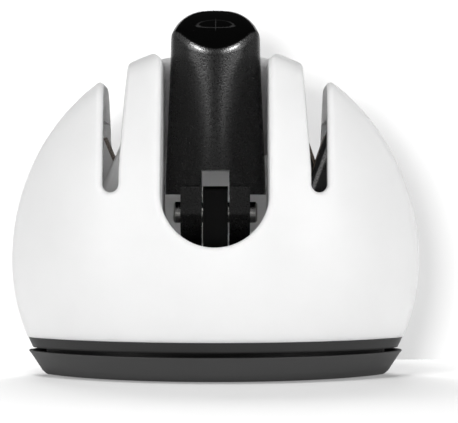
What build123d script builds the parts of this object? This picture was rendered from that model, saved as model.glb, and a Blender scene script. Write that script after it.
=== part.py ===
from build123d import *
import math
import os

# A manual knife sharpener that a thumb lever locks to the table by suction.
# Millimetres, +Z up, front towards -Y. The origin is on the table, under the middle of the foot.

# Fits and cuts shared by several pieces
overrun = 5.0  # how far a cut runs past the face that it starts from
slide_gap = 0.2  # each side of a piece that slides or drops into its place
run_gap = 0.05  # round a pin or a screw shank in its hole

# Body: an oval seen from the front, with front and back faces bowed both ways
oval_half_width = 50.0
oval_centre_z = 28.0
oval_rise = 52.8  # from the oval's centre up to the crown
oval_fall = 47.4  # from the oval's centre down, if it ran on below the table
body_half_depth = 31.0
rim_half_depth = 4.17  # at the oval's widest, before its edges are rounded
crown_half_depth = 13.15  # at the crown, before its edges are rounded
rim_round = 10.0
wall = 2.6
shell_bottom_z = 9.45

# Knife slots, from front to back through the crown
slot_place_share = 0.492  # of the body's half width
slot_width = 3.8
slot_flare_depth = 30.8  # from the crown down to where the mouth begins to widen
slot_throat = 3.6  # the straight part between the flare and the round bottom
slot_inner_draft = 3.6  # degrees
slot_outer_draft = 1.0  # degrees
channel_wall = 1.8
channel_depth = 18.8  # of the walls beside a slot, from the crown down
mouth_round = 1.2  # along the edges of the slots and of the lever's notch

# Notch and well for the lever
notch_share = 0.256  # of the body's half width
notch_bottom_z = 31.6
notch_back_y = 9.5
notch_bevel_depth = 4.0  # the notch's sides lean outward above this, from the crown down
notch_bevel_angle = 52.0  # degrees from upright
notch_bevel_round = 2.0
notch_back_round = 2.0
well_wall = 1.8
well_bottom_z = 31.0
well_back_bottom_z = 54.0  # the well opens into the hollow body below this height

# Ribs and screw bosses inside the housing
rib = 1.6
rib_bottom_z = 14.0
cross_rib_top_z = 40.0
boss_place_share = 0.42  # of the body's half width
boss_sink = 0.2  # how far a boss runs into the cross rib beside it
boss_radius = 3.2
boss_height = 14.0

# Base plate
base_thickness = 2.5
base_inset = 0.15  # the base plate stands back from the shell by this much
spigot_height = 2.4
spigot_wall = 1.6
base_wall = 1.6
pedestal_half_x = 11.0
pedestal_half_y = 12.0
guide_height = 9.8  # of the solid top of the pedestal, which guides the stem
clamp_rib_inset = 4.4  # from the lip's outline to the rib that holds the pad's rim down
clamp_rib_width = 2.0

# Base screws
screw_radius = 1.3
screw_head_radius = 2.6
screw_head_height = 1.6
screw_length = 12.0  # under the head

# Rubber foot: a lens outline with rounded ends, flaring up to a thin lip
lip_end_inset = 2.8  # from the body's end to the points of the lens, before they are rounded
lip_side_inset = 1.2
lip_z = 6.1
lip_thickness = 0.9
foot_end_round = 9.0
pad_flare = 4.0  # how far the bottom stands in from the lip
pad_edge_round = 0.9
rim_top_z = 4.4
dish_run = 2.4  # how far the dish behind the lip slopes inward
seal_width = 6.0
valley_depth = 2.4
valley_end_round = 4.0
diaphragm = 1.4
hub_wall = 2.4
hub_clearance = 0.5  # between the middle of the pad and the table
hub_top_z = 5.4
hub_floor = 1.4
hub_room = 0.6  # round the hub, inside the base plate
turret_gap = 0.4  # between the holders and the wall round the hub
rubber_gap = 0.12  # between the rubber and what it holds

# Pull stem and pivot pin
pin_z = 39.8
pin_radius = 2.6
pin_stub = 1.85  # beyond each fork leg
pin_chamfer = 0.4
stem_width = 6.1
stem_depth = 9.0
stem_head = 6.4  # above the pin
stem_round = 1.0
stem_foot_thickness = 2.0
stem_neck_radius = 4.8
stem_neck_height = 5.0

# Cam feet and the wear plate under them
cam_rest = 9.0  # from the pin down to the wear plate, lever upright
cam_lift = 2.5  # how far the feet raise the pin as the lever comes down
cam_swing = 90.0  # degrees
cam_gap = 0.15
cam_steps = 6
cam_plate_thickness = 1.0
cam_plate_margin = 0.5
plate_screw_y = 8.0
plate_screw_radius = 1.0
plate_screw_head_radius = 1.9
plate_screw_length = 6.0

# Lever
leg_gap = 0.35  # between each fork leg and the stem
leg_thickness = 5.0
leg_front_height = 6.6  # the flat front of a foot, above the pin
leg_back_y = 6.0
leg_heel_y = 4.0  # back end of the flat under a foot
leg_heel_rise = 4.0
leg_ledge_round = 0.8
fork_top_z = 50.1
lever_base_z = 44.2
lever_top_z = 90.1
lever_spring_drop = 11.5  # from the top down to where the sides begin to run straight up
lever_waist_share = 0.488  # of the height from the lever's base to there
lever_crown = 2.3  # how far the top falls from its middle to its corners
lever_corner_share = 0.81  # the rounding of the top corners, of the half width there
lever_side_gap = 0.35  # between the lever's base and the notch
lever_taper = 1.35  # how much narrower each side is at the top
lever_side_y = 2.2  # where the flat sides meet the rounded front
lever_back_y = 7.0
lever_back_round = 1.6
lever_base_front_y = -7.8
lever_waist_front_y = -8.6
lever_brow_front_y = -8.6
brow_drop = 10.9  # from the top down to where the front turns over into the sloping thumb end
brow_bulge_y = -2.4
brow_bulge_drop = 4.5
brow_end_rise = 1.0  # the slope of the thumb end would meet the back this far above the top
brow_round = 3.2
# The front outline of a section, from its middle outwards: how far out, and how far back
lever_out_shares = (0.26, 0.58, 0.83)
lever_base_back_shares = (0.01, 0.09, 0.34)
lever_waist_back_shares = (0.08, 0.33, 0.60)
lever_brow_back_shares = (0.04, 0.20, 0.46)

# Half holders, which cross in each slot, and their stones
holder_room = 1.0  # between a holder and the wall of the well
holder_depth_share = 0.29  # of the body's half depth
holder_wall = 1.8
holder_hollow_z = 34.0
holder_screw_inset = 3.0  # from a holder's side
holder_screw_z = 37.0
holder_screw_radius = 1.0
holder_screw_head_radius = 1.9
holder_screw_head_height = 1.2
holder_screw_length = 13.0
holder_edge_round = 1.3
holder_corner_round = 4.0  # clears the crown of the shell
fine_angle = 23.0  # degrees, of each stone from upright
coarse_angle = 19.0
v_depth = 28.0  # where the two stones cross, from the crown down
v_floor_drop = 12.8  # below the crossing
stone_proud = 0.8  # of the holder's edge beside it
guard_gap = 0.1  # how far the guard at the mouth of a holder stands back from the stone's face
stone_thickness = 2.4
stone_depth = 5.0
stone_inset = 0.6  # from the face where the halves meet
stone_length = 15.0
stone_reach = 6.0  # along the stone, above the crossing
glue_gap = 0.04

# Heights and places that follow from the sizes above
bow = body_half_depth - rim_half_depth
bow_radius = (oval_half_width**2 + bow**2) / (2 * bow)  # of the front and back, seen from above
fall_back = body_half_depth - crown_half_depth
crown_radius = (oval_rise**2 + fall_back**2) / (2 * fall_back)  # of the same, seen from the side
crown_z = oval_centre_z + oval_rise
crown_top_z = crown_z + overrun
slot_centre_x = slot_place_share * oval_half_width
slot_flare_z = crown_z - slot_flare_depth
slot_round_z = slot_flare_z - slot_throat
slot_bottom_z = slot_round_z - slot_width / 2
channel_bottom_z = crown_z - channel_depth
notch_half_width = notch_share * oval_half_width
notch_bevel_z = crown_z - notch_bevel_depth
lip_half_length = oval_half_width - lip_end_inset
lip_half_depth = body_half_depth - lip_side_inset
holder_half_width = slot_centre_x - notch_half_width - well_wall - holder_room
holder_depth = holder_depth_share * body_half_depth
holder_screw_x = holder_half_width - holder_screw_inset
v_apex_z = crown_z - v_depth
v_floor_z = v_apex_z - v_floor_drop
hub_radius = slot_centre_x - holder_half_width - base_wall - hub_room - turret_gap
stem_foot_radius = hub_radius - hub_wall
boss_x = boss_place_share * oval_half_width
boss_y = holder_depth + slide_gap + rib + boss_radius - boss_sink
lever_spring_z = lever_top_z - lever_spring_drop
lever_waist_z = lever_base_z + lever_waist_share * (lever_spring_z - lever_base_z)
brow_z = lever_top_z - brow_drop
brow_bulge_z = lever_top_z - brow_bulge_drop
lever_base_half_width = notch_half_width - lever_side_gap
lever_spring_half_width = lever_base_half_width - lever_taper
lever_corner_round = lever_corner_share * lever_spring_half_width
base_bottom_z = shell_bottom_z - base_thickness
spigot_top_z = shell_bottom_z + spigot_height
boss_bottom_z = spigot_top_z + slide_gap
cam_plate_top_z = pin_z - cam_rest
pedestal_top_z = cam_plate_top_z - cam_plate_thickness
hub_recess_top_z = spigot_top_z - base_wall
stem_foot_z = hub_clearance + hub_floor + rubber_gap
holder_top_z = channel_bottom_z - slide_gap
bulkhead_x = slot_centre_x + holder_half_width + slide_gap + rib / 2
cross_rib_y = holder_depth + slide_gap + rib / 2
fork_half = stem_width / 2 + leg_gap
pin_length = 2 * (fork_half + leg_thickness + pin_stub)
lever_depth = lever_back_y - lever_brow_front_y

os.makedirs("parts", exist_ok=True)


def save(piece, name):
    """Label a finished piece and write it."""
    piece.label = name
    export_step(piece, f"parts/{name}.step")


def body_blank(inset):
    """The solid body with all its outer faces drawn in by inset, its lower end below the table."""
    low_z = oval_centre_z - oval_fall - overrun
    girth = bow_radius - inset
    flank = crown_radius - inset

    def reach(z):
        return girth - flank + math.sqrt(flank**2 - (z - oval_centre_z) ** 2)

    with BuildPart() as blank:
        with BuildSketch(Plane.XZ):
            centre = (0, oval_centre_z)
            half_width = oval_half_width - inset
            with BuildLine():
                EllipticalCenterArc(centre, half_width, oval_rise - inset, 0, arc_size=180)
                EllipticalCenterArc(centre, half_width, oval_fall - inset, 180, arc_size=180)
            make_face()
        extrude(amount=body_half_depth + overrun, both=True)
        for side in (-1, 1):
            axis_y = side * (bow_radius - body_half_depth)
            low = (axis_y + side * reach(low_z), low_z)
            middle = (axis_y + side * girth, oval_centre_z)
            high = (axis_y + side * reach(crown_top_z), crown_top_z)
            with BuildSketch(Plane.YZ):
                with BuildLine():
                    ThreePointArc(low, middle, high)
                    Polyline(high, (axis_y, crown_top_z), (axis_y, low_z), low)
                make_face()
            revolve(axis=Axis((0, axis_y, 0), (0, 0, 1)), mode=Mode.INTERSECT)
        fillet(blank.edges().filter_by(GeomType.LINE, reverse=True), rim_round - inset)
    return blank.part


def foot_outline(inset, end_round):
    """The lens outline of the rubber foot, drawn in by inset from the lip."""
    arc_radius = (lip_half_length**2 + lip_half_depth**2) / (2 * lip_half_depth)
    centre_y = arc_radius - lip_half_depth
    half_depth = lip_half_depth - inset
    half_length = math.sqrt((arc_radius - inset) ** 2 - centre_y**2)
    with BuildSketch() as outline:
        with BuildLine():
            ThreePointArc((-half_length, 0), (0, -half_depth), (half_length, 0))
            ThreePointArc((half_length, 0), (0, half_depth), (-half_length, 0))
        make_face()
        fillet(outline.vertices(), end_round)
    return outline.sketch


def slot_sides(z):
    """The inner and the outer wall of the right-hand slot at a height, as places along X."""
    rise = max(z - slot_flare_z, 0)
    inner = slot_centre_x - slot_width / 2 - rise * math.tan(math.radians(slot_inner_draft))
    outer = slot_centre_x + slot_width / 2 + rise * math.tan(math.radians(slot_outer_draft))
    return inner, outer


outer_blank = body_blank(0)
middle_blank = body_blank(wall / 2)
inner_blank = body_blank(wall)

# Openings of the body: two knife slots and the lever's notch
with BuildPart() as openings:
    throat_inner, throat_outer = slot_sides(slot_flare_z)
    mouth_inner, mouth_outer = slot_sides(crown_top_z)
    with BuildSketch(Plane.XZ):
        with BuildLine():
            Polyline(
                (throat_inner, slot_round_z),
                (throat_inner, slot_flare_z),
                (mouth_inner, crown_top_z),
                (mouth_outer, crown_top_z),
                (throat_outer, slot_flare_z),
                (throat_outer, slot_round_z),
            )
            ThreePointArc(
                (throat_inner, slot_round_z), (slot_centre_x, slot_bottom_z), (throat_outer, slot_round_z)
            )
        make_face()
        mirror(about=Plane.YZ)
    extrude(amount=body_half_depth + overrun, both=True)
    notch_round_z = notch_bottom_z + notch_half_width
    bevel_rise = crown_top_z - notch_bevel_z
    notch_top_half_width = notch_half_width + bevel_rise * math.tan(math.radians(notch_bevel_angle))
    with BuildSketch(Plane.XZ.offset(-notch_back_y)) as notch_outline:
        with BuildLine():
            Polyline(
                (-notch_half_width, notch_round_z),
                (-notch_half_width, notch_bevel_z),
                (-notch_top_half_width, crown_top_z),
                (notch_top_half_width, crown_top_z),
                (notch_half_width, notch_bevel_z),
                (notch_half_width, notch_round_z),
            )
            ThreePointArc(
                (-notch_half_width, notch_round_z), (0, notch_bottom_z), (notch_half_width, notch_round_z)
            )
        make_face()
        fillet(notch_outline.vertices().group_by(Axis.Y)[-2], notch_bevel_round)
    extrude(amount=body_half_depth + notch_back_y + overrun)
    notch_back = openings.faces().filter_by(Plane.XZ).filter_by_position(Axis.Y, notch_back_y, notch_back_y)
    fillet(notch_back.edges().sort_by(Axis.Z)[:-1], notch_back_round)

# Walls inside the body, run into the middle of its outer wall
with BuildPart() as inner_walls:
    channel_inner, channel_outer = slot_sides(channel_bottom_z)
    with BuildSketch(Plane.XZ):
        with BuildLine():
            Polyline(
                (channel_inner - channel_wall, channel_bottom_z),
                (channel_outer + channel_wall, channel_bottom_z),
                (mouth_outer + channel_wall, crown_top_z),
                (mouth_inner - channel_wall, crown_top_z),
                close=True,
            )
        make_face()
        mirror(about=Plane.YZ)
    extrude(amount=body_half_depth, both=True)
    well_back_y = notch_back_y + well_wall
    with Locations((0, well_back_y, well_back_bottom_z)):
        Box(
            2 * (notch_half_width + well_wall),
            body_half_depth + well_back_y,
            crown_top_z - well_back_bottom_z,
            align=(Align.CENTER, Align.MAX, Align.MIN),
        )
    well_side_x = notch_half_width + well_wall / 2
    with Locations((-well_side_x, well_back_y, well_bottom_z), (well_side_x, well_back_y, well_bottom_z)):
        Box(
            well_wall,
            body_half_depth + well_back_y,
            crown_top_z - well_bottom_z,
            align=(Align.CENTER, Align.MAX, Align.MIN),
        )
    with Locations((-bulkhead_x, 0, rib_bottom_z), (bulkhead_x, 0, rib_bottom_z)):
        Box(
            rib,
            2 * body_half_depth,
            crown_top_z - rib_bottom_z,
            align=(Align.CENTER, Align.CENTER, Align.MIN),
        )
    with Locations((0, 0, rib_bottom_z)):
        with GridLocations(bulkhead_x + well_side_x, 2 * cross_rib_y, 2, 2):
            Box(
                bulkhead_x - well_side_x,
                rib,
                cross_rib_top_z - rib_bottom_z,
                align=(Align.CENTER, Align.CENTER, Align.MIN),
            )
    with Locations((0, 0, boss_bottom_z)):
        with GridLocations(2 * boss_x, 2 * boss_y, 2, 2):
            Cylinder(boss_radius, boss_height, align=(Align.CENTER, Align.CENTER, Align.MIN))
    add(middle_blank, mode=Mode.INTERSECT)

# Housing shell: the body opened, softened at the openings' edges, then hollowed round its walls
with BuildPart() as cavity:
    add(inner_blank)
    add(inner_walls.part, mode=Mode.SUBTRACT)
with BuildPart() as housing_shell:
    add(outer_blank)
    add(openings.part, mode=Mode.SUBTRACT)
    fillet(new_edges(outer_blank, openings.part, combined=housing_shell.part), mouth_round)
    add(cavity.part, mode=Mode.SUBTRACT)
    split(bisect_by=Plane.XY.offset(shell_bottom_z), keep=Keep.TOP)
    with Locations((0, 0, boss_bottom_z)):
        with GridLocations(2 * boss_x, 2 * boss_y, 2, 2):
            Cylinder(
                screw_radius + run_gap,
                screw_length,
                align=(Align.CENTER, Align.CENTER, Align.MIN),
                mode=Mode.SUBTRACT,
            )
save(housing_shell.part, "housing_shell")

# Base plate: the body's foot, with a spigot into the shell and a pedestal that guides the stem
lip_outline = foot_outline(0, foot_end_round)
sole_outline = foot_outline(pad_flare, foot_end_round - pad_flare)
dish_mouth = foot_outline(lip_thickness, foot_end_round - lip_thickness)
dish_floor = foot_outline(lip_thickness + dish_run, foot_end_round - lip_thickness - dish_run)
valley_outline = foot_outline(pad_flare + seal_width, valley_end_round)
clamp_rib_outer = foot_outline(clamp_rib_inset, foot_end_round - clamp_rib_inset)
clamp_rib_inner = foot_outline(clamp_rib_inset + clamp_rib_width, valley_end_round)
base_blank = body_blank(base_inset)
spigot_inset = wall + slide_gap
spigot_blank = body_blank(spigot_inset)
spigot_core = body_blank(spigot_inset + spigot_wall)
hub_recess_radius = hub_radius + hub_room

with BuildPart() as spigot:
    add(spigot_blank)
    add(spigot_core, mode=Mode.SUBTRACT)
    with Locations((0, 0, shell_bottom_z)):
        Box(
            2 * oval_half_width,
            2 * body_half_depth,
            spigot_height,
            align=(Align.CENTER, Align.CENTER, Align.MIN),
            mode=Mode.INTERSECT,
        )

with BuildPart() as base_plate:
    add(base_blank)
    with Locations((0, 0, base_bottom_z)):
        Box(
            2 * oval_half_width,
            2 * body_half_depth,
            base_thickness,
            align=(Align.CENTER, Align.CENTER, Align.MIN),
            mode=Mode.INTERSECT,
        )
    add(spigot.part)
    with Locations((0, 0, base_bottom_z)):
        turret_height = spigot_top_z - base_bottom_z
        Cylinder(
            hub_recess_radius + base_wall, turret_height, align=(Align.CENTER, Align.CENTER, Align.MIN)
        )
        Box(
            2 * pedestal_half_x,
            2 * pedestal_half_y,
            pedestal_top_z - base_bottom_z,
            align=(Align.CENTER, Align.CENTER, Align.MIN),
        )
        with GridLocations(2 * boss_x, 2 * boss_y, 2, 2):
            Cylinder(boss_radius, turret_height, align=(Align.CENTER, Align.CENTER, Align.MIN))
    with BuildSketch(Plane.XY.offset(rim_top_z)):
        add(clamp_rib_outer)
        add(clamp_rib_inner, mode=Mode.SUBTRACT)
    extrude(amount=base_bottom_z - rim_top_z)
    with Locations((0, 0, hub_recess_top_z)):
        Cylinder(
            hub_recess_radius,
            base_thickness + spigot_height,
            align=(Align.CENTER, Align.CENTER, Align.MAX),
            mode=Mode.SUBTRACT,
        )
    with Locations((0, 0, hub_recess_top_z)):
        Box(
            2 * (pedestal_half_x - base_wall),
            2 * (pedestal_half_y - base_wall),
            pedestal_top_z - guide_height - hub_recess_top_z,
            align=(Align.CENTER, Align.CENTER, Align.MIN),
            mode=Mode.SUBTRACT,
        )
    with Locations((0, 0, pedestal_top_z)):
        Box(
            stem_width + 2 * slide_gap,
            stem_depth + 2 * slide_gap,
            2 * guide_height,
            mode=Mode.SUBTRACT,
        )
    with Locations((0, -plate_screw_y, pedestal_top_z), (0, plate_screw_y, pedestal_top_z)):
        Cylinder(
            plate_screw_radius + run_gap,
            plate_screw_length,
            align=(Align.CENTER, Align.CENTER, Align.MAX),
            mode=Mode.SUBTRACT,
        )
    with Locations(Location((0, 0, base_bottom_z), (180, 0, 0))):
        with GridLocations(2 * boss_x, 2 * boss_y, 2, 2):
            CounterBoreHole(
                screw_radius + run_gap, screw_head_radius + slide_gap, screw_head_height, turret_height
            )
save(base_plate.part, "base_plate")

with BuildPart() as base_screws:
    with Locations((0, 0, base_bottom_z)):
        with GridLocations(2 * boss_x, 2 * boss_y, 2, 2):
            Cylinder(
                screw_head_radius, screw_head_height, align=(Align.CENTER, Align.CENTER, Align.MIN)
            )
            Cylinder(
                screw_radius,
                screw_head_height + screw_length,
                align=(Align.CENTER, Align.CENTER, Align.MIN),
            )
save(base_screws.part, "base_screws")

# Suction pad: a flared rim that seals on the table, and a thin skin that carries the hub
with BuildPart() as suction_pad:
    with BuildSketch():
        add(sole_outline)
    with BuildSketch(Plane.XY.offset(lip_z)):
        add(lip_outline)
    loft(ruled=True)
    fillet(suction_pad.edges().group_by(Axis.Z)[0], pad_edge_round)
    with BuildSketch(Plane.XY.offset(rim_top_z)):
        add(dish_floor)
    with BuildSketch(Plane.XY.offset(lip_z)):
        add(dish_mouth)
    loft(ruled=True, mode=Mode.SUBTRACT)
    with BuildSketch():
        add(valley_outline)
    extrude(amount=valley_depth, mode=Mode.SUBTRACT)
    with BuildSketch(Plane.XY.offset(valley_depth + diaphragm)):
        add(valley_outline)
    extrude(amount=lip_z, mode=Mode.SUBTRACT)
    with Locations((0, 0, hub_clearance)):
        Cylinder(
            hub_radius, hub_top_z - hub_clearance, align=(Align.CENTER, Align.CENTER, Align.MIN)
        )
    with Locations((0, 0, stem_foot_z - rubber_gap)):
        Cylinder(
            stem_foot_radius + rubber_gap,
            stem_foot_thickness + 2 * rubber_gap,
            align=(Align.CENTER, Align.CENTER, Align.MIN),
            mode=Mode.SUBTRACT,
        )
    with Locations((0, 0, stem_foot_z)):
        Cylinder(
            stem_neck_radius + rubber_gap,
            lip_z,
            align=(Align.CENTER, Align.CENTER, Align.MIN),
            mode=Mode.SUBTRACT,
        )
save(suction_pad.part, "suction_pad")

# Pull stem: a foot moulded into the pad's hub, a neck, and a flat shank up to the pin
stem_neck_z = stem_foot_z + stem_foot_thickness
stem_shank_z = stem_neck_z + stem_neck_height
with BuildPart() as pull_stem:
    with Locations((0, 0, stem_foot_z)):
        Cylinder(
            stem_foot_radius, stem_foot_thickness, align=(Align.CENTER, Align.CENTER, Align.MIN)
        )
    with Locations((0, 0, stem_neck_z)):
        Cylinder(stem_neck_radius, stem_neck_height, align=(Align.CENTER, Align.CENTER, Align.MIN))
    with BuildSketch(Plane.YZ):
        with Locations((0, stem_shank_z)):
            Rectangle(
                stem_depth, pin_z + stem_head - stem_shank_z, align=(Align.CENTER, Align.MIN)
            )
        with Locations((0, pin_z)):
            Circle(pin_radius + run_gap, mode=Mode.SUBTRACT)
    extrude(amount=stem_width / 2, both=True)
    fillet(pull_stem.faces().sort_by(Axis.Z)[-1].edges().filter_by(Axis.X), stem_round)
save(pull_stem.part, "pull_stem")

with BuildPart() as pivot_pin:
    with BuildSketch(Plane.YZ):
        with Locations((0, pin_z)):
            Circle(pin_radius)
    extrude(amount=pin_length / 2, both=True)
    chamfer(pivot_pin.edges().filter_by(GeomType.CIRCLE), pin_chamfer)
save(pivot_pin.part, "pivot_pin")

# Wear plate under the cam feet, with two flush screws
with BuildPart() as cam_plate:
    with BuildSketch(Plane.XY.offset(pedestal_top_z)):
        Rectangle(2 * (pedestal_half_x - cam_plate_margin), 2 * (pedestal_half_y - cam_plate_margin))
        Rectangle(stem_width + 2 * slide_gap, stem_depth + 2 * slide_gap, mode=Mode.SUBTRACT)
    extrude(amount=cam_plate_thickness)
    with Locations((0, -plate_screw_y, cam_plate_top_z), (0, plate_screw_y, cam_plate_top_z)):
        CounterSinkHole(plate_screw_radius + run_gap, plate_screw_head_radius + run_gap)
save(cam_plate.part, "cam_plate")

with BuildPart() as cam_plate_screws:
    with Locations((0, -plate_screw_y, cam_plate_top_z), (0, plate_screw_y, cam_plate_top_z)):
        Cylinder(
            plate_screw_radius, plate_screw_length, align=(Align.CENTER, Align.CENTER, Align.MAX)
        )
        Cone(
            plate_screw_radius,
            plate_screw_head_radius,
            plate_screw_head_radius - plate_screw_radius,
            align=(Align.CENTER, Align.CENTER, Align.MAX),
        )
save(cam_plate_screws.part, "cam_plate_screws")

# Lever: a paddle with a rounded front, a sloping thumb end and two fork legs with cam feet
lever_waist_half_width = lever_base_half_width - lever_taper * lever_waist_share
lever_sections = (
    (lever_base_z, lever_base_half_width, lever_base_front_y, lever_base_back_shares),
    (lever_waist_z, lever_waist_half_width, lever_waist_front_y, lever_waist_back_shares),
    (lever_spring_z, lever_spring_half_width, lever_brow_front_y, lever_brow_back_shares),
    (lever_top_z + overrun, lever_spring_half_width, lever_brow_front_y, lever_brow_back_shares),
)


def lever_front(half_width, front_y, back_shares):
    """Points along the rounded front of one section of the lever, from its middle to its right side."""
    depth = lever_side_y - front_y
    between = [
        (out_share * half_width, front_y + back_share * depth)
        for out_share, back_share in zip(lever_out_shares, back_shares)
    ]
    return [(0, front_y), *between, (half_width, lever_side_y)]


def cam_point(angle):
    """Where a cam foot bears on the wear plate after the lever turns by angle, from the pin."""
    pitch = cam_lift / math.radians(cam_swing)
    reach = cam_rest - cam_gap + pitch * angle
    y = -reach * math.sin(angle) - pitch * math.cos(angle)
    z = -reach * math.cos(angle) + pitch * math.sin(angle)
    return y, pin_z + z


cam_outline = [cam_point(math.radians(cam_swing) * step / cam_steps) for step in range(cam_steps + 1)]
cam_toe_y, cam_sole_z = cam_outline[0]
cam_front_y, cam_front_z = cam_outline[-1]
ledge_z = pin_z + leg_front_height

with BuildPart() as thumb_slope:
    slope_end_z = lever_top_z + brow_end_rise
    slope_top_z = slope_end_z + overrun
    with BuildSketch(Plane.YZ):
        with BuildLine():
            ThreePointArc(
                (lever_brow_front_y, brow_z), (brow_bulge_y, brow_bulge_z), (lever_back_y, slope_end_z)
            )
            Polyline(
                (lever_back_y, slope_end_z),
                (lever_back_y + overrun, slope_end_z),
                (lever_back_y + overrun, slope_top_z),
                (lever_brow_front_y - overrun, slope_top_z),
                (lever_brow_front_y - overrun, brow_z),
                (lever_brow_front_y, brow_z),
            )
        make_face()
    extrude(amount=lever_base_half_width + overrun, both=True)

with BuildPart() as paddle:
    for section_z, half_width, front_y, back_shares in lever_sections:
        with BuildSketch(Plane.XY.offset(section_z)):
            with BuildLine():
                Spline(lever_front(half_width, front_y, back_shares), tangents=((1, 0), (0, 1)))
                FilletPolyline(
                    (half_width, lever_side_y),
                    (half_width, lever_back_y),
                    (0, lever_back_y),
                    radius=lever_back_round,
                )
                Line((0, lever_back_y), (0, front_y))
            make_face()
    loft()
    mirror(about=Plane.YZ)
    with BuildSketch(Plane.XZ) as thumb_outline:
        corner_z = lever_top_z - lever_crown
        with BuildLine():
            ThreePointArc(
                (-lever_spring_half_width, corner_z), (0, lever_top_z), (lever_spring_half_width, corner_z)
            )
            Polyline(
                (lever_spring_half_width, corner_z),
                (lever_spring_half_width, lever_spring_z),
                (-lever_spring_half_width, lever_spring_z),
                (-lever_spring_half_width, corner_z),
            )
        make_face()
        fillet(thumb_outline.vertices().group_by(Axis.Y)[-1], lever_corner_round)
        with Locations((0, lever_base_z)):
            Rectangle(
                2 * (lever_base_half_width + overrun),
                lever_spring_z - lever_base_z,
                align=(Align.CENTER, Align.MIN),
            )
    extrude(amount=lever_depth, both=True, mode=Mode.INTERSECT)

with BuildPart() as lever:
    add(paddle.part)
    add(thumb_slope.part, mode=Mode.SUBTRACT)
    fillet(new_edges(paddle.part, thumb_slope.part, combined=lever.part), brow_round)
    for side in (-1, 1):
        with BuildSketch(Plane.YZ.offset(side * (fork_half + leg_thickness / 2))) as leg:
            with BuildLine():
                Spline(cam_outline, tangents=((-1, 0), (0, 1)))
                Polyline(
                    (cam_front_y, cam_front_z),
                    (cam_front_y, ledge_z),
                    (leg_back_y, ledge_z),
                    (leg_back_y, cam_sole_z + leg_heel_rise),
                    (leg_heel_y, cam_sole_z),
                    (cam_toe_y, cam_sole_z),
                )
            make_face()
            fillet(leg.vertices().group_by(Axis.X)[0].sort_by(Axis.Y)[-1], leg_ledge_round)
        extrude(amount=leg_thickness / 2, both=True)
    with Locations((0, 0, fork_top_z)):
        Box(
            2 * fork_half,
            2 * lever_depth,
            2 * cam_rest + fork_top_z - pin_z,
            align=(Align.CENTER, Align.CENTER, Align.MAX),
            mode=Mode.SUBTRACT,
        )
    with BuildSketch(Plane.YZ):
        with Locations((0, pin_z)):
            Circle(pin_radius)
    extrude(amount=pin_length, both=True, mode=Mode.SUBTRACT)
save(lever.part, "lever")

# Half holders and stones are drawn as front halves, about the middle of a slot
screw_grip = holder_depth - holder_screw_head_height  # plastic of the front half under the head


def stone_end(angle):
    """The upper end of a stone, its origin on the sharpening face and its X axis into the holder."""
    slope = math.radians(angle)
    along = Vector(math.sin(slope), 0, math.cos(slope))
    crossing = Vector(0, -stone_inset - stone_depth / 2, v_apex_z)
    into_holder = Vector(math.cos(slope), 0, -math.sin(slope))
    return Plane(crossing + along * stone_reach, x_dir=into_holder, z_dir=along)


def front_stone(angle):
    """A stone of the front half, its sharpening face at an angle from upright."""
    with BuildPart() as stone:
        with BuildSketch(stone_end(angle)):
            Rectangle(stone_thickness, stone_depth, align=(Align.MIN, Align.CENTER))
        extrude(amount=-stone_length)
    return stone.part


def front_holder(angle):
    """A front half holder, its sloping edge at an angle from upright, with a pocket and a guard for the stone."""
    slope = math.radians(angle)
    guard_y = stone_inset + stone_depth + 2 * glue_gap

    def edge_x(z, set_back):
        return (z - v_apex_z) * math.tan(slope) + set_back / math.cos(slope)

    with BuildPart() as half:
        for set_back, near_y in ((stone_proud, 0), (guard_gap, guard_y)):
            with BuildSketch(Plane.XZ.offset(near_y)):
                with BuildLine():
                    Polyline(
                        (-holder_half_width, shell_bottom_z),
                        (holder_half_width, shell_bottom_z),
                        (holder_half_width, holder_top_z),
                        (edge_x(holder_top_z, set_back), holder_top_z),
                        (edge_x(v_floor_z, set_back), v_floor_z),
                        (-holder_half_width, v_floor_z),
                        close=True,
                    )
                make_face()
            extrude(amount=holder_depth - near_y)
        top_edges = half.edges().filter_by(Axis.Y).group_by(Axis.Z)[-1]
        fillet(top_edges.sort_by(Axis.X)[-1], holder_corner_round)
        pocket_end = stone_end(angle).offset(glue_gap)
        sloping_edges = half.edges().filter_by(Axis((0, 0, 0), pocket_end.z_dir))
        fillet(sloping_edges.sort_by(Axis.Y)[0], holder_edge_round)
        with BuildSketch(pocket_end):
            Rectangle(
                stone_thickness + glue_gap, stone_depth + 2 * glue_gap, align=(Align.MIN, Align.CENTER)
            )
        extrude(amount=-stone_length - 2 * glue_gap, mode=Mode.SUBTRACT)
        with Locations((0, -holder_depth / 2, shell_bottom_z)):
            Box(
                2 * (holder_half_width - holder_wall),
                holder_depth - 2 * holder_wall,
                holder_hollow_z - shell_bottom_z,
                align=(Align.CENTER, Align.CENTER, Align.MIN),
                mode=Mode.SUBTRACT,
            )
        with BuildSketch(Plane.XZ):
            with Locations((holder_screw_x, holder_screw_z)):
                Circle(holder_screw_radius + run_gap)
        extrude(amount=holder_depth, mode=Mode.SUBTRACT)
        with BuildSketch(Plane.XZ.offset(screw_grip)):
            with Locations((holder_screw_x, holder_screw_z)):
                Circle(holder_screw_head_radius + slide_gap)
        extrude(amount=holder_screw_head_height, mode=Mode.SUBTRACT)
        with BuildSketch(Plane.XZ):
            with Locations((-holder_screw_x, holder_screw_z)):
                Circle(holder_screw_radius + run_gap)
        extrude(amount=holder_screw_length - screw_grip + slide_gap, mode=Mode.SUBTRACT)
    return half.part


with BuildPart() as holder_screw:
    with BuildSketch(Plane.XZ.offset(screw_grip)):
        with Locations((holder_screw_x, holder_screw_z)):
            Circle(holder_screw_head_radius)
    extrude(amount=holder_screw_head_height)
    with BuildSketch(Plane.XZ.offset(screw_grip)):
        with Locations((holder_screw_x, holder_screw_z)):
            Circle(holder_screw_radius)
    extrude(amount=-holder_screw_length)

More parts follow.
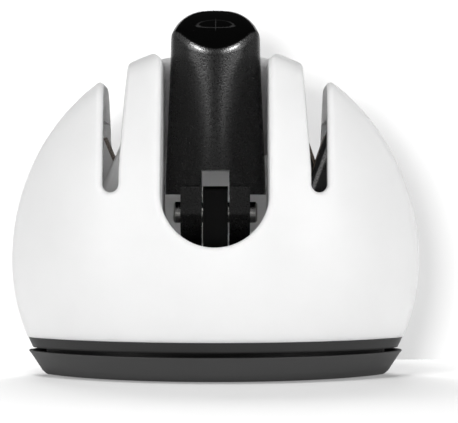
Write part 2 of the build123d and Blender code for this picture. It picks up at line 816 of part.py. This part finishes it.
# The rear half of each pair is the front half turned half round about the slot's middle
half_turns = {"front": 0, "rear": 180}
for grade, slot_x, angle in (
    ("fine", -slot_centre_x, fine_angle),
    ("coarse", slot_centre_x, coarse_angle),
):
    for kind, piece in (("holder", front_holder(angle)), ("stone", front_stone(angle))):
        for half, turn in half_turns.items():
            with BuildPart() as placed:
                with Locations((slot_x, 0, 0)):
                    add(piece, rotation=(0, 0, turn))
            save(placed.part, f"{grade}_{kind}_{half}")
    with BuildPart() as placed_screws:
        with Locations((slot_x, 0, 0)):
            for turn in half_turns.values():
                add(holder_screw.part, rotation=(0, 0, turn))
    save(placed_screws.part, f"{grade}_holder_screws")
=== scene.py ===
import math

import bmesh
import bpy
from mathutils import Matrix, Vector


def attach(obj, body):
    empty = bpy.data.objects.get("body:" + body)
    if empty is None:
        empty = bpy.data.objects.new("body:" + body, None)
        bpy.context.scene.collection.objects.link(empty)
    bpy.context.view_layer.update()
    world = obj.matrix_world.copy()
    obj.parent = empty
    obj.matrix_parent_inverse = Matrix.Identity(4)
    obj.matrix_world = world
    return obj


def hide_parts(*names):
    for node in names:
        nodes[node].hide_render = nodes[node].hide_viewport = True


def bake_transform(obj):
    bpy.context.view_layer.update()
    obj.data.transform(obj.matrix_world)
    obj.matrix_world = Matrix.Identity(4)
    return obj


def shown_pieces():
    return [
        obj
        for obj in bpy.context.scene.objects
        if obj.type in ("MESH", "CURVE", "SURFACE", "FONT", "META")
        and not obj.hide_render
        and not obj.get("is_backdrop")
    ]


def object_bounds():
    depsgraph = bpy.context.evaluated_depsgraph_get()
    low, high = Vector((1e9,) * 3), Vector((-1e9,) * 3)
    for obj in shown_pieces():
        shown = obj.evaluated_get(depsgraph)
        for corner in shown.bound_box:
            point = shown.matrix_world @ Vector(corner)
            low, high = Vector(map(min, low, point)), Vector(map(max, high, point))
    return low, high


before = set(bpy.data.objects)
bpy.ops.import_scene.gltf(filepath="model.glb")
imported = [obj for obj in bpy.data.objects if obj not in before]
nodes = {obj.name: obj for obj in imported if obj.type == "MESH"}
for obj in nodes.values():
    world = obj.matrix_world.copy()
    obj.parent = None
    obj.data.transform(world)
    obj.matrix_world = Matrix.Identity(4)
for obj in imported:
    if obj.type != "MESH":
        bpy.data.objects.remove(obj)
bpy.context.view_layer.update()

MM = 0.001
scene = bpy.context.scene
scene.view_settings.view_transform = "Standard"


# Node materials, with sizes in metres

CLOUD_SIZE = 0.018
LINE_SIZE = 0.0006
LINE_HEIGHT = 0.000002
STAIN_SIZE = 0.004
LEVER_GRAIN = 0.00038
LEVER_GRAIN_HEIGHT = 0.000045
LEVER_CLOUD = 0.006
THUMB_END_Z = 78.0 * MM
MARK_Z = 85.7 * MM
MARK_RISE = 1.5 * MM
MARK_DROP = 0.6 * MM
MARK_HALF_WIDTH = 4.4 * MM
SEAM_X = 0.05 * MM
SEAM_HALF_WIDTH = 0.12 * MM


def feed(tree, socket, value):
    """Give a socket a value, or link it from another socket."""
    if isinstance(value, bpy.types.NodeSocket):
        tree.links.new(value, socket)
    else:
        socket.default_value = value


def add(tree, kind, inputs=None, **settings):
    """A new node. Inputs take a value, or a socket to link from."""
    made = tree.nodes.new(kind)
    for name, value in settings.items():
        setattr(made, name, value)
    for name, value in (inputs or {}).items():
        feed(tree, made.inputs[name], value)
    return made


def start(name):
    """A new material: its tree, its shader and the coordinates that stay with the piece."""
    material = bpy.data.materials.new(name)
    material.use_nodes = True
    tree = material.node_tree
    tree.nodes.clear()
    shader = add(tree, "ShaderNodeBsdfPrincipled")
    add(tree, "ShaderNodeOutputMaterial", {"Surface": shader.outputs["BSDF"]})
    return material, tree, shader, add(tree, "ShaderNodeTexCoord").outputs["Object"]


def noise(tree, place, size, detail=2.0, stretch=None):
    """Noise with features about size metres across, drawn out along an axis by stretch."""
    if stretch:
        place = add(tree, "ShaderNodeMapping", {"Vector": place, "Scale": stretch}).outputs["Vector"]
    return add(
        tree, "ShaderNodeTexNoise", {"Vector": place, "Scale": 1 / size, "Detail": detail}
    ).outputs["Fac"]


def remap(tree, value, low, high, to_low=0.0, to_high=1.0, smooth=False):
    """A value brought from one range to another, and kept inside it."""
    return add(
        tree,
        "ShaderNodeMapRange",
        {"Value": value, "From Min": low, "From Max": high, "To Min": to_low, "To Max": to_high},
        interpolation_type="SMOOTHSTEP" if smooth else "LINEAR",
    ).outputs["Result"]


def calc(tree, operation, first, second=0.0):
    """The result of a sum on one or two values."""
    made = add(tree, "ShaderNodeMath", operation=operation)
    for socket, value in zip(made.inputs, (first, second)):
        feed(tree, socket, value)
    return made.outputs["Value"]


def mix(tree, share, first, second):
    """A colour between two colours."""
    made = add(tree, "ShaderNodeMix", data_type="RGBA")
    feed(tree, made.inputs[0], share)
    for socket, value in ((made.inputs[6], first), (made.inputs[7], second)):
        feed(tree, socket, (*value, 1.0) if isinstance(value, tuple) else value)
    return made.outputs[2]


def edges(tree, reach=0.0003):
    """How strongly a place lies on an edge, within reach metres of it."""
    rounded = add(tree, "ShaderNodeBevel", {"Radius": reach}, samples=4).outputs["Normal"]
    face = add(tree, "ShaderNodeNewGeometry").outputs["Normal"]
    turn = add(tree, "ShaderNodeVectorMath", {0: rounded, 1: face}, operation="DOT_PRODUCT").outputs["Value"]
    return remap(tree, turn, 0.97, 0.75, 0.0, 0.7)


def near(tree, value, centre, width):
    """One where a value is at the centre, falling to zero at a distance of width."""
    away = calc(tree, "ABSOLUTE", calc(tree, "SUBTRACT", value, centre))
    return remap(tree, calc(tree, "DIVIDE", away, width), 0.4, 1.0, 1.0, 0.0)


def axis(tree, vector, letter):
    """One of a vector's coordinates."""
    return add(tree, "ShaderNodeSeparateXYZ", {"Vector": vector}).outputs[letter]


def facing(tree, letter):
    """A coordinate of the way that the surface faces, in the piece's own frame."""
    return axis(tree, add(tree, "ShaderNodeTexCoord").outputs["Normal"], letter)


def emboss(tree, shader, height, distance, strength=1.0):
    """A bump on the surface, distance metres high."""
    bump = add(tree, "ShaderNodeBump", {"Height": height, "Strength": strength, "Distance": distance})
    tree.links.new(bump.outputs["Normal"], shader.inputs["Normal"])


def grey(value):
    return (value, value, value)


def moulded(
    name, dark, light, rough, grain, height, edge_wear_and_highlight=None, milky=None, shaded=None, shade=0.003, specular=0.5
):
    """Moulded plastic or rubber: broad cloudy tone, fine grain, paler edges, light through thin walls.

    The grain's size and height and the milky depth are in metres. shaded makes a mask for painted light, and
    shade is
    the grey that the mask brings in: painted shade, or with a pale grey a painted highlight.
    """
    material, tree, shader, place = start(name)
    cloud = noise(tree, place, CLOUD_SIZE, 3.0)
    fine = noise(tree, place, grain, 3.0)
    colour = mix(tree, remap(tree, cloud, 0.3, 0.7), dark, light)
    # Paler edges: worn, and on the black holders a painted highlight
    if edge_wear_and_highlight:
        colour = mix(tree, edges(tree), colour, edge_wear_and_highlight)
    # Painted shade, or a painted highlight, brought in where the mask says
    if shaded:
        colour = mix(tree, shaded(tree, place), colour, grey(shade))
    if milky:
        shader.inputs["Subsurface Weight"].default_value = 0.8
        shader.inputs["Subsurface Radius"].default_value = (1.0, 1.0, 1.0)
        shader.inputs["Subsurface Scale"].default_value = milky
    shader.inputs["Specular IOR Level"].default_value = specular
    tree.links.new(colour, shader.inputs["Base Color"])
    tree.links.new(remap(tree, cloud, 0.3, 0.7, *rough), shader.inputs["Roughness"])
    emboss(tree, shader, fine, height)
    return material


def steel(name, colour, rough, stretch):
    """Bare steel with fine lines left by turning or rolling."""
    material, tree, shader, place = start(name)
    shader.inputs["Metallic"].default_value = 1.0
    lines = noise(tree, place, LINE_SIZE, 4.0, stretch)
    stain = noise(tree, place, STAIN_SIZE, 3.0)
    dark = tuple(0.72 * c for c in colour)
    tint = mix(tree, remap(tree, stain, 0.35, 0.7), dark, colour)
    tree.links.new(tint, shader.inputs["Base Color"])
    tree.links.new(remap(tree, lines, 0.25, 0.75, *rough), shader.inputs["Roughness"])
    emboss(tree, shader, lines, LINE_HEIGHT)
    return material


def abrasive(name, dark, light, grit):
    """Bonded abrasive: dark and pale grains over the whole face, and a rough surface."""
    material, tree, shader, place = start(name)
    cells = add(tree, "ShaderNodeTexVoronoi", {"Vector": place, "Scale": 1 / grit})
    speck = noise(tree, place, grit * 0.8, 2.0)
    grains = remap(tree, cells.outputs["Distance"], 0.1, 0.7, 1.0, 0.0)
    tint = mix(tree, remap(tree, speck, 0.35, 0.65), dark, light)
    tree.links.new(tint, shader.inputs["Base Color"])
    tree.links.new(remap(tree, speck, 0.2, 0.8, 0.55, 0.9), shader.inputs["Roughness"])
    emboss(tree, shader, grains, grit * 0.12)
    return material


def lever_plastic(name):
    """Black plastic, finely grained on the front and sides, and polished on the sloping thumb end."""
    material, tree, shader, place = start(name)
    split = add(tree, "ShaderNodeSeparateXYZ", {"Vector": place})
    x, z = split.outputs["X"], split.outputs["Z"]
    # The thumb end is the part over the brow that slopes back
    sloping = remap(tree, facing(tree, "Z"), 0.36, 0.50, smooth=True)
    polish = calc(tree, "MULTIPLY", sloping, remap(tree, z, THUMB_END_Z, THUMB_END_Z + 0.6 * MM))
    grain = noise(tree, place, LEVER_GRAIN, 2.0)
    cloud = noise(tree, place, LEVER_CLOUD, 2.0)
    colour = mix(tree, grain, grey(0.0003), grey(0.0009))
    colour = mix(tree, polish, colour, grey(0.0002))
    # The mould's parting line, and the oval mark of an ejector on the thumb end, faint along its top
    middle = near(tree, x, SEAM_X, SEAM_HALF_WIDTH)
    seam = calc(tree, "MULTIPLY", middle, remap(tree, z, 50 * MM, 79 * MM, 0.0, 0.07))
    cross = calc(tree, "MULTIPLY", middle, near(tree, z, 85.9 * MM, 1.9 * MM))
    over = calc(tree, "SUBTRACT", z, MARK_Z)
    upper = calc(tree, "GREATER_THAN", over, 0.0)
    half_height = remap(tree, upper, 0.0, 1.0, MARK_DROP, MARK_RISE)
    rise = calc(tree, "DIVIDE", calc(tree, "ABSOLUTE", over), half_height)
    run = calc(tree, "DIVIDE", calc(tree, "ABSOLUTE", x), MARK_HALF_WIDTH)
    power = remap(tree, upper, 0.0, 1.0, 3.0, 2.0)
    radius = calc(tree, "ADD", calc(tree, "POWER", rise, power), calc(tree, "POWER", run, power))
    oval = near(tree, radius, 1.0, remap(tree, upper, 0.0, 1.0, 0.5, 0.16))
    faint = calc(tree, "MULTIPLY", upper, remap(tree, run, 0.6, 1.0, 0.75, 0.2))
    oval = calc(tree, "MULTIPLY", oval, calc(tree, "SUBTRACT", 1.0, faint))
    mark = calc(tree, "MULTIPLY", calc(tree, "MAXIMUM", cross, oval), 0.6)
    seam = calc(tree, "MULTIPLY", seam, calc(tree, "SUBTRACT", 1.0, polish))
    mark = calc(tree, "MAXIMUM", calc(tree, "MULTIPLY", mark, polish), seam)
    tree.links.new(mix(tree, mark, colour, grey(0.008)), shader.inputs["Base Color"])
    shader.inputs["Specular IOR Level"].default_value = 0.2
    rough = remap(tree, grain, 0.3, 0.7, 0.24, 0.34)
    shine = remap(tree, cloud, 0.3, 0.7, 0.07, 0.12)
    blended = add(tree, "ShaderNodeMix", {0: polish, 2: rough, 3: shine}).outputs[0]
    tree.links.new(blended, shader.inputs["Roughness"])
    emboss(tree, shader, grain, LEVER_GRAIN_HEIGHT, remap(tree, polish, 0.0, 1.0, 1.0, 0.03))
    return material


def slot_wall_painted_shade(tree, place):
    """Painted shade, blotchy, on the steep walls of the knife slots."""
    steep = remap(tree, calc(tree, "ABSOLUTE", facing(tree, "X")), 0.8, 0.97, smooth=True)
    inside = near(tree, calc(tree, "ABSOLUTE", axis(tree, place, "X")), 25.5 * MM, 6.0 * MM)
    cover = remap(tree, noise(tree, place, 0.003, 3.0), 0.3, 0.7, 0.5, 0.75)
    return calc(tree, "MULTIPLY", calc(tree, "MULTIPLY", steep, inside), cover)


def base_gap_painted_shade(tree, place):
    """Painted shade on the parts of the base plate below its band, in the gap over the foot."""
    return remap(tree, axis(tree, place, "Z"), 7.05 * MM, 7.4 * MM, 1.0, 0.0)


def lip_top_painted_shade(tree, place):
    """Painted shade on the rubber's faces that look up, such as the foot lip's upper side under the base
    plate.
    """
    normal = add(tree, "ShaderNodeNewGeometry").outputs["Normal"]
    return remap(tree, axis(tree, normal, "Z"), 0.1, 0.4)


def guide_edge_painted_highlight(tree, place):
    """A painted highlight: a speckled pale band along the front half, beside the edge that guides the blade.
    """
    split = add(tree, "ShaderNodeSeparateXYZ", {"Vector": place})
    lean = calc(tree, "MULTIPLY", calc(tree, "SUBTRACT", split.outputs["Z"], 45.8 * MM), 0.382)
    aside = calc(tree, "SUBTRACT", split.outputs["X"], lean)
    band = near(tree, aside, 23.7 * MM, 0.7 * MM)
    front = calc(tree, "LESS_THAN", split.outputs["Y"], -1.0 * MM)
    speckle = remap(tree, noise(tree, place, 0.0003, 2.0), 0.35, 0.65, 0.25, 1.0)
    return calc(tree, "MULTIPLY", calc(tree, "MULTIPLY", band, front), speckle)


# Painted shade on the knife slots' steep walls
white = moulded(
    "shell_white", grey(0.86), grey(0.89), (0.30, 0.42), 0.0007, 0.000002,
    milky=0.003, shaded=slot_wall_painted_shade, shade=0.12, specular=0.3,
)
# Painted shade below the base plate's band
base_grey = moulded(
    "base_grey", grey(0.022), grey(0.029), (0.42, 0.55), 0.0004, 0.00001,
    edge_wear_and_highlight=grey(0.05), shaded=base_gap_painted_shade, specular=0.3,
)
# Painted shade on the rubber's faces that look up
rubber = moulded("foot_rubber", grey(0.036), grey(0.044), (0.5, 0.66), 0.0005, 0.000012, shaded=lip_top_painted_shade)
stem_black = moulded(
    "stem_black", grey(0.0015), grey(0.003), (0.18, 0.28), 0.0004, 0.000004, edge_wear_and_highlight=grey(0.01), specular=0.12
)
pale = moulded("fine_plastic", grey(0.86), grey(0.91), (0.35, 0.5), 0.0004, 0.000006, edge_wear_and_highlight=grey(0.93))
# Painted highlight: the pale speckled band beside the guide edge, and the paler edges
black = moulded(
    "coarse_plastic", grey(0.008), grey(0.014), (0.22, 0.34), 0.00035, 0.00003,
    edge_wear_and_highlight=grey(0.04), shaded=guide_edge_painted_highlight, shade=0.5,
)
lever_black = lever_plastic("lever_black")
pin_steel = steel("pin_steel", (0.66, 0.65, 0.63), (0.12, 0.3), (6.0, 0.3, 0.3))
plate_steel = steel("plate_steel", (0.5, 0.5, 0.51), (0.25, 0.45), (0.3, 6.0, 6.0))
screw_steel = steel("screw_steel", (0.52, 0.52, 0.53), (0.25, 0.45), (3.0, 3.0, 0.4))
fine_stone = abrasive("fine_stone", (0.15, 0.125, 0.11), (0.40, 0.34, 0.30), 0.00022)
coarse_stone = abrasive("coarse_stone", (0.10, 0.08, 0.065), (0.36, 0.29, 0.23), 0.00034)

finishes = {
    "housing_shell": white,
    "base_plate": base_grey,
    "pull_stem": stem_black,
    "pivot_pin": pin_steel,
    "cam_plate": plate_steel,
    "lever": lever_black,
    "fine_holder_front": pale,
    "fine_holder_rear": pale,
    "fine_stone_front": fine_stone,
    "fine_stone_rear": fine_stone,
    "coarse_holder_front": black,
    "coarse_holder_rear": black,
    "coarse_stone_front": coarse_stone,
    "coarse_stone_rear": coarse_stone,
}
for name, node in nodes.items():
    node.data.materials.clear()
    node.data.materials.append(finishes.get(name, screw_steel))


# The rubber foot: a rim that stays with the housing, a hub that goes up with the stem, and a skin between.
# Its sizes are in millimetres.

LIP_HALF_LENGTH = 47.2
LIP_HALF_DEPTH = 29.8
LIP_HEIGHT = 6.1
LIP_FLARE = 4.0
END_ROUND = 9.0
VALLEY_INSET = 10.0
VALLEY_ROUND = 4.0
SKIN_LOW, SKIN_HIGH = 2.4, 3.8
SKIN_RADIUS = 19.55
HUB_RADIUS = 13.0
HUB_STEPS = 72
SECTORS = 8
SKIN_STEPS = 8
HUB_LAP = 0.1


def foot_loop(inset, end_round, side_steps=56, end_steps=20):
    """The lens outline of the foot, drawn in by inset from the lip, as points in millimetres."""
    radius = (LIP_HALF_LENGTH**2 + LIP_HALF_DEPTH**2) / (2 * LIP_HALF_DEPTH)
    centre = radius - LIP_HALF_DEPTH
    arc = radius - inset
    end_x = math.sqrt((arc - end_round) ** 2 - centre**2)
    half = math.atan2(end_x, centre)  # from the middle of a side to where its end begins
    points = []
    for turn in (1, -1):
        for step in range(side_steps):
            angle = -half + 2 * half * step / side_steps
            points.append((turn * arc * math.sin(angle), turn * (centre - arc * math.cos(angle))))
        for step in range(end_steps):
            angle = half + (math.pi - 2 * half) * step / end_steps
            points.append(
                (turn * (end_x + end_round * math.sin(angle)), -turn * end_round * math.cos(angle))
            )
    return points


def polar(radius, angle, z):
    """A point in metres from a radius and a height in millimetres."""
    return Vector((radius * math.cos(angle), radius * math.sin(angle), z)) * MM


def new_piece(name, bm, material):
    """A smooth piece from a mesh in the making."""
    bmesh.ops.recalc_face_normals(bm, faces=bm.faces)
    for face in bm.faces:
        face.smooth = True
    mesh = bpy.data.meshes.new(name)
    bm.to_mesh(mesh)
    bm.free()
    piece = bpy.data.objects.new(name, mesh)
    scene.collection.objects.link(piece)
    mesh.materials.append(material)
    return piece


def ring(loops):
    """A closed ring through loops of points that all have the same count."""
    bm = bmesh.new()
    rows = [[bm.verts.new(Vector(p) * MM) for p in loop] for loop in loops]
    count = len(rows[0])
    for row, after in zip(rows, rows[1:] + rows[:1]):
        for i in range(count):
            j = (i + 1) % count
            bm.faces.new((row[i], row[j], after[j], after[i]))
    return bm


def flare(z):
    """How far the foot's outer side lies in from the lip, at a height."""
    return LIP_FLARE * (1 - z / LIP_HEIGHT)


rim_section = [
    (VALLEY_INSET, SKIN_LOW), (VALLEY_INSET, 0.5), (9.86, 0.15), (9.5, 0.0),
    (8.4, 0.0), (6.6, 0.0), (5.0, 0.0), (4.55, 0.06), (4.2, 0.22), (3.9, 0.5), (flare(1.0), 1.0),
    (flare(2.0), 2.0), (flare(3.2), 3.2), (flare(4.4), 4.4), (flare(5.3), 5.3), (0.16, 5.7),
    (0.06, 5.9), (0.16, 6.04), (0.4, 6.08), (0.7, 6.02), (0.95, 5.86), (1.6, 5.4), (2.6, 4.75),
    (3.1, 4.48), (3.6, 4.37), (5.5, 4.37), (7.5, 4.37), (9.4, 4.37), (9.9, 4.25), (VALLEY_INSET, 4.0),
    (VALLEY_INSET, SKIN_HIGH),
]
rim_loops = [
    [(x, y, z) for x, y in foot_loop(inset, max(END_ROUND - inset, VALLEY_ROUND))]
    for inset, z in rim_section
]
turns = [math.atan2(y, x) for x, y in foot_loop(VALLEY_INSET, VALLEY_ROUND)]
inner_ring = [(SKIN_RADIUS * math.cos(turn), SKIN_RADIUS * math.sin(turn)) for turn in turns]
rim_loops.append([(x, y, SKIN_HIGH) for x, y in inner_ring])
rim_loops.append([(x, y, SKIN_LOW) for x, y in inner_ring])
foot_rim = new_piece("foot_rim", ring(rim_loops), rubber)
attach(foot_rim, "housing")
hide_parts("suction_pad")

hub_section = [
    (0.0, 0.5), (4.0, 0.5), (8.0, 0.5), (11.8, 0.5), (12.5, 0.62), (12.88, 0.95), (HUB_RADIUS, 1.5),
    (HUB_RADIUS, 3.0), (HUB_RADIUS, 4.7), (12.85, 5.15), (12.4, 5.4), (9.0, 5.4), (5.4, 5.4), (5.0, 5.25),
    (4.93, 4.9), (4.93, 4.15), (10.72, 4.15), (10.72, 1.9), (5.0, 1.9), (0.0, 1.9),
]
bm = bmesh.new()
rows = []
for radius, z in hub_section:
    if radius == 0:
        rows.append([bm.verts.new((0, 0, z * MM))] * HUB_STEPS)
    else:
        turns = [math.tau * i / HUB_STEPS for i in range(HUB_STEPS)]
        rows.append([bm.verts.new(polar(radius, turn, z)) for turn in turns])
for row, after in zip(rows, rows[1:]):
    for i in range(HUB_STEPS):
        j = (i + 1) % HUB_STEPS
        # At the middle a row is one point, so a face there has three corners
        bm.faces.new(list(dict.fromkeys((row[i], row[j], after[j], after[i]))))
foot_hub = new_piece("foot_hub", bm, rubber)
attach(foot_hub, "stem")

for sector in range(SECTORS):
    middle = math.tau * sector / SECTORS
    bm = bmesh.new()
    faces = []
    for z in (SKIN_LOW, SKIN_HIGH):
        grid = []
        for i in range(SKIN_STEPS + 1):
            angle = middle + math.tau / SECTORS * (i / SKIN_STEPS - 0.5)
            line = []
            for k in range(SKIN_STEPS + 1):
                radius = HUB_RADIUS - HUB_LAP + (SKIN_RADIUS - HUB_RADIUS + HUB_LAP) * k / SKIN_STEPS
                line.append(bm.verts.new(polar(radius, angle, z)))
            grid.append(line)
        faces.append(grid)
    low, high = faces
    for grid in faces:
        for a, b in zip(grid, grid[1:]):
            for k in range(SKIN_STEPS):
                bm.faces.new((a[k], a[k + 1], b[k + 1], b[k]))
    for i in range(SKIN_STEPS):
        for k in (0, SKIN_STEPS):
            bm.faces.new((low[i][k], low[i + 1][k], high[i + 1][k], high[i][k]))
    for i in (0, SKIN_STEPS):
        for k in range(SKIN_STEPS):
            bm.faces.new((low[i][k], low[i][k + 1], high[i][k + 1], high[i][k]))
    skin = new_piece(f"foot_skin_{sector}", bm, rubber)
    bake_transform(skin)


# Stage: a pale floor and a pale wall just behind, both white where nothing shades them, and a backdrop all
# round. Its sizes are in metres.

GROUND = -0.3 * MM
FLOOR_REACH = 3
WALL_Y = 0.052
WALL_REACH = 0.12
WALL_TOP = 0.12
BACKDROP_RADIUS = 2.4
BACKDROP_TOP = 1.6
BACKDROP_STEPS = 96
NEAR_BY, FAR_OFF = 0.2, 0.8


def stage_material(name, strength, one_sided):
    """White to the eye with little bounce of light. Far off it is white at the back and dim in front."""
    material, tree, shader, place = start(name)
    tree.nodes.remove(shader)
    output = next(n for n in tree.nodes if n.type == "OUTPUT_MATERIAL")
    apart = add(tree, "ShaderNodeVectorMath", {0: place}, operation="LENGTH").outputs["Value"]
    far_strength = remap(tree, axis(tree, place, "Y"), -0.4, 0.5, 0.12, 1.05, smooth=True)
    strength = remap(tree, apart, NEAR_BY, FAR_OFF, strength, far_strength, smooth=True)
    cloud = noise(tree, place, 0.2, 2.0)
    tint = mix(tree, cloud, grey(0.24), grey(0.25))
    tint = mix(tree, remap(tree, apart, NEAR_BY, FAR_OFF, smooth=True), tint, grey(0.12))
    matt = add(tree, "ShaderNodeBsdfDiffuse", {"Color": tint}).outputs[0]
    glow = add(tree, "ShaderNodeEmission", {"Strength": strength}).outputs[0]
    seen = add(tree, "ShaderNodeAddShader", {0: matt, 1: glow}).outputs[0]
    rays = add(tree, "ShaderNodeLightPath")
    direct = calc(tree, "MAXIMUM", rays.outputs["Is Camera Ray"], rays.outputs["Is Glossy Ray"])
    direct = calc(tree, "MAXIMUM", direct, rays.outputs["Is Transmission Ray"])
    surface = add(tree, "ShaderNodeMixShader", {0: direct, 1: matt, 2: seen}).outputs[0]
    if one_sided:
        clear = add(tree, "ShaderNodeBsdfTransparent").outputs[0]
        behind = add(tree, "ShaderNodeNewGeometry").outputs["Backfacing"]
        surface = add(tree, "ShaderNodeMixShader", {0: behind, 1: surface, 2: clear}).outputs[0]
    tree.links.new(surface, output.inputs["Surface"])
    return material


def stage_mesh(name, corners, faces, material):
    """A piece of the stage from its corners and faces."""
    mesh = bpy.data.meshes.new(name)
    mesh.from_pydata(corners, [], faces)
    made = bpy.data.objects.new(name, mesh)
    scene.collection.objects.link(made)
    mesh.materials.append(material)
    made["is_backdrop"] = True
    return made


square = [(-1, -1), (1, -1), (1, 1), (-1, 1)]
floor = stage_mesh(
    "floor",
    [(FLOOR_REACH * x, FLOOR_REACH * y, GROUND) for x, y in square],
    [(0, 1, 2, 3)],
    stage_material("floor", 0.27, False),
)
wall = stage_mesh(
    "wall",
    [(WALL_REACH * x, WALL_Y, WALL_TOP if up > 0 else GROUND) for x, up in square],
    [(0, 1, 2, 3)],
    stage_material("wall", 0.40, True),
)
turns = [math.tau * i / BACKDROP_STEPS for i in range(BACKDROP_STEPS)]
circle = [(BACKDROP_RADIUS * math.cos(turn), BACKDROP_RADIUS * math.sin(turn)) for turn in turns]
steps = [(i, (i + 1) % BACKDROP_STEPS) for i in range(BACKDROP_STEPS)]
backdrop = stage_mesh(
    "backdrop",
    [(x, y, z) for z in (GROUND, BACKDROP_TOP) for x, y in circle],
    [(i, j, BACKDROP_STEPS + j, BACKDROP_STEPS + i) for i, j in steps],
    stage_material("backdrop", 1.0, False),
)
for made in (wall, backdrop):
    made.visible_shadow = False
    made.visible_diffuse = False


# Light


def softbox(name, place, aim, size, power, only, glossy=True):
    """A lamp with a size in metres and a power in watts, which lights only one group of pieces."""
    lamp = bpy.data.lights.new(name, "AREA")
    lamp.shape = "RECTANGLE"
    lamp.size, lamp.size_y = size
    lamp.energy = power
    made = bpy.data.objects.new(name, lamp)
    scene.collection.objects.link(made)
    made.location = place
    made.rotation_euler = (Vector(aim) - Vector(place)).to_track_quat("-Z", "Y").to_euler()
    made.visible_glossy = glossy
    made.light_linking.receiver_collection = only
    return made


def lit_by(name, pieces):
    """A group of pieces that a lamp can be kept to."""
    group = bpy.data.collections.new(name)
    for piece in pieces:
        group.objects.link(piece)
    return group


lever = nodes["lever"]
on_stage = lit_by("on_stage", (floor, wall, backdrop))
on_lever = lit_by("on_lever", (lever,))
on_part = lit_by("on_part", [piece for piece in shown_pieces() if piece != lever])

MIDDLE = (0, 0, 0.042)
LAMP_DISTANCE = 0.6
LAMP_LEVEL = 0.07


def around(turn, rise):
    """A place at an angle round the object from the front, and at an angle up."""
    turn, rise = math.radians(turn), math.radians(rise)
    return (
        LAMP_DISTANCE * math.cos(rise) * math.sin(turn),
        -LAMP_DISTANCE * math.cos(rise) * math.cos(turn),
        LAMP_LEVEL + LAMP_DISTANCE * math.sin(rise),
    )


for side, word in ((-1, "left"), (1, "right")):
    softbox(f"softbox_{word}", around(52 * side, 8), MIDDLE, (0.20, 0.40), 1.5 + 0.1 * side, on_part)
    band = softbox(f"band_{word}", around(60 * side, 12), (0, 0, 0.07), (0.30, 0.20), 2.2, on_lever)
    band.light_linking.blocker_collection = on_lever  # the body doesn't shade this one
    softbox(f"brow_{word}", around(40 * side, 28), (0, 0, 0.08), (0.16, 0.16), 15.0, on_lever)
softbox("lever_fill", (0, -0.9, 0.2), (0, 0, 0.06), (0.7, 0.4), 0.15, on_lever)
softbox("front_fill", (0, -0.9, 0.1), MIDDLE, (0.6, 0.5), 4.6, on_part, glossy=False)
softbox("top_fill", (0, 0.05, 0.8), MIDDLE, (0.7, 0.6), 1.9, on_part, glossy=False)
softbox("rear_fill", (0, 0.26, 0.05), MIDDLE, (0.1, 0.08), 0.45, on_part, glossy=False)
softbox("wall_key", (-0.16, -0.9, 0.11), MIDDLE, (0.16, 0.16), 15.0, on_stage, glossy=False)
softbox("wall_kicker", (0.16, -0.9, 0.11), MIDDLE, (0.16, 0.16), 2.0, on_stage, glossy=False)
softbox("floor_key", (-0.05, 0.42, 0.50), (0, 0, 0), (0.50, 0.26), 11.0, on_stage, glossy=False)
softbox("floor_fill", (-0.10, -0.30, 0.60), (0, 0, 0), (0.25, 0.25), 7.0, on_stage, glossy=False)

world = bpy.data.worlds.new("studio")
scene.world = world
world.use_nodes = True
background = next(n for n in world.node_tree.nodes if n.type == "BACKGROUND")
background.inputs["Color"].default_value = (1, 1, 1, 1)
background.inputs["Strength"].default_value = 0.03


# Camera, level with the middle of the body

IMAGE_WIDTH = 458
FOCAL_PIXELS = 2027.6

camera = bpy.data.cameras.new("camera")
camera.sensor_fit = "HORIZONTAL"
camera.sensor_width = 36.0
camera.lens = FOCAL_PIXELS * camera.sensor_width / IMAGE_WIDTH
camera.clip_start = 0.01
camera.clip_end = 20
eye = bpy.data.objects.new("camera", camera)
scene.collection.objects.link(eye)
eye.location = (3.33 * MM, -0.5, 40 * MM)
eye.rotation_euler = (math.pi / 2, 0, 0)
scene.camera = eye

low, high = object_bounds()
